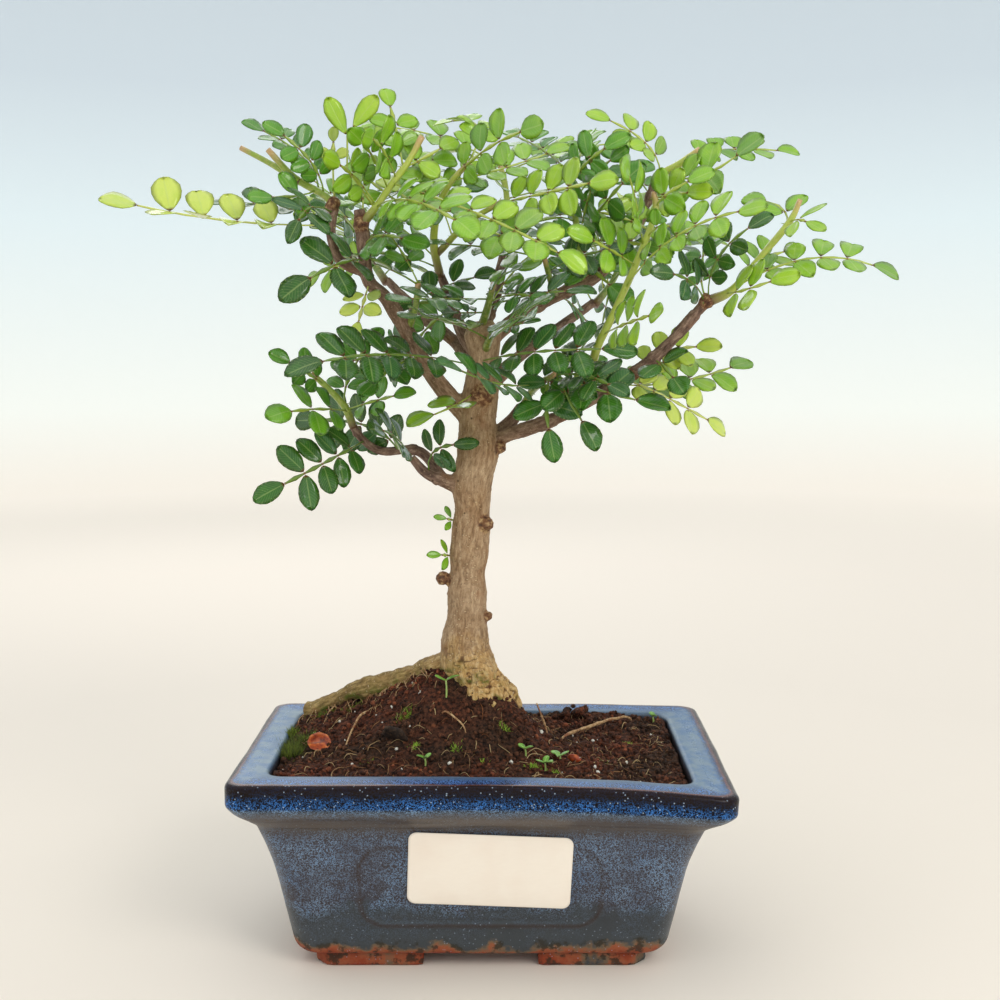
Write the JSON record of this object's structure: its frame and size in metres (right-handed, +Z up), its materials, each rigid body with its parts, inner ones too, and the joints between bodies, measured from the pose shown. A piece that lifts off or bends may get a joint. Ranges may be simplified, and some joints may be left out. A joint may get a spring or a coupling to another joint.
{
  "type": "japanese pepper bonsai",
  "caption": "Japanese pepper bonsai: a slim trunk with a long surface root, forked branches and feathery compound leaves, in soil in a low rectangular blue-glazed pot.",
  "frame": {"origin": "on the ground, at the bottom centre of the bounding box of the whole plant and pot", "axes": "+Z up; -Y towards the front of the pot, the side with the label; +X to the right seen from the front"},
  "size_m": [0.2356, 0.1538, 0.2741],
  "materials": {
    "pot_glaze": "mottled blue glaze over dark brown, glossy, bare terracotta at the foot",
    "drain_mesh_plastic": "matte black plastic net",
    "label_paper": "blank coated white sticker",
    "bark": "grey-tan bark with streaks and lenticels, golden-brown burl, mossy root",
    "soil": "moist dark peat soil with crumbs and fibres",
    "dark_bark_chip": "matte dark bark",
    "seedling_green": "thin soft green leaves",
    "dry_leaf": "dry orange-brown leaf",
    "dead_twig": "dry tan twig",
    "leaf_dark": "glossy dark green leathery leaf, paler under side",
    "leaf_mid": "glossy mid green leathery leaf, paler under side",
    "leaf_bright": "glossy young yellow-green leaf",
    "leaf_pale": "thin pale yellow-green leaf"
  },
  "bodies": {
    "root": {"pot": "pot_glaze", "drain_mesh_left": "drain_mesh_plastic", "drain_mesh_right": "drain_mesh_plastic", "label": "label_paper", "tree_wood": "bark", "soil": "soil", "seedling_by_trunk": "seedling_green", "seedling_front_left": "seedling_green", "seedling_middle": "seedling_green", "seedling_front_middle": "seedling_green", "seedling_front_right": "seedling_green", "seedling_back_right": "seedling_green", "fallen_leaf_left": "dry_leaf", "fallen_leaf_right": "dry_leaf", "bark_chip": "dark_bark_chip", "twig_on_soil": "dead_twig", "twig_by_trunk": "dead_twig", "rootlet_left": "dead_twig", "rootlet_by_trunk": "dead_twig", "spray_left_twig": "leaf_mid", "leaf_far_left": "leaf_pale", "leaf_left_twig": "leaf_dark", "sprout_left_twig": "leaf_pale", "spray_left_top": "leaf_bright", "leaf_left_hanging": "leaf_dark", "leaf_left_pale": "leaf_pale", "leaf_left_inner": "leaf_mid", "trunk_leaf_low": "leaf_bright", "trunk_leaf_high": "leaf_bright", "leaf_front_left": "leaf_dark", "leaf_front_right": "leaf_dark", "leaf_bright_low": "leaf_bright", "spray_low_left": "leaf_mid", "leaf_low_left_round": "leaf_dark", "leaf_low_left": "leaf_dark", "leaf_across_trunk": "leaf_dark", "spray_front": "leaf_dark", "spray_centre": "leaf_bright", "leaf_inner_left": "leaf_dark", "leaf_inner_top": "leaf_dark", "spray_right_mid": "leaf_mid", "spray_right_top": "leaf_bright", "leaf_right_joint": "leaf_bright", "leaf_right_behind": "leaf_mid", "shoot_right": "leaf_bright", "leaf_right_low_front": "leaf_pale", "leaf_right_low_flat": "leaf_bright", "leaf_right_low_back": "leaf_pale", "spray_far_right": "leaf_bright", "leaf_knob_up": "leaf_dark", "leaf_knob_left": "leaf_dark", "leaf_knob_behind": "leaf_mid", "spray_trunk_top": "leaf_dark", "spray_trunk_front": "leaf_dark", "spray_left_fork": "leaf_dark", "spray_right_fork": "leaf_dark", "spray_back_left": "leaf_dark", "spray_back_right": "leaf_dark", "spray_back_top": "leaf_bright"}
  },
  "joints": []
}
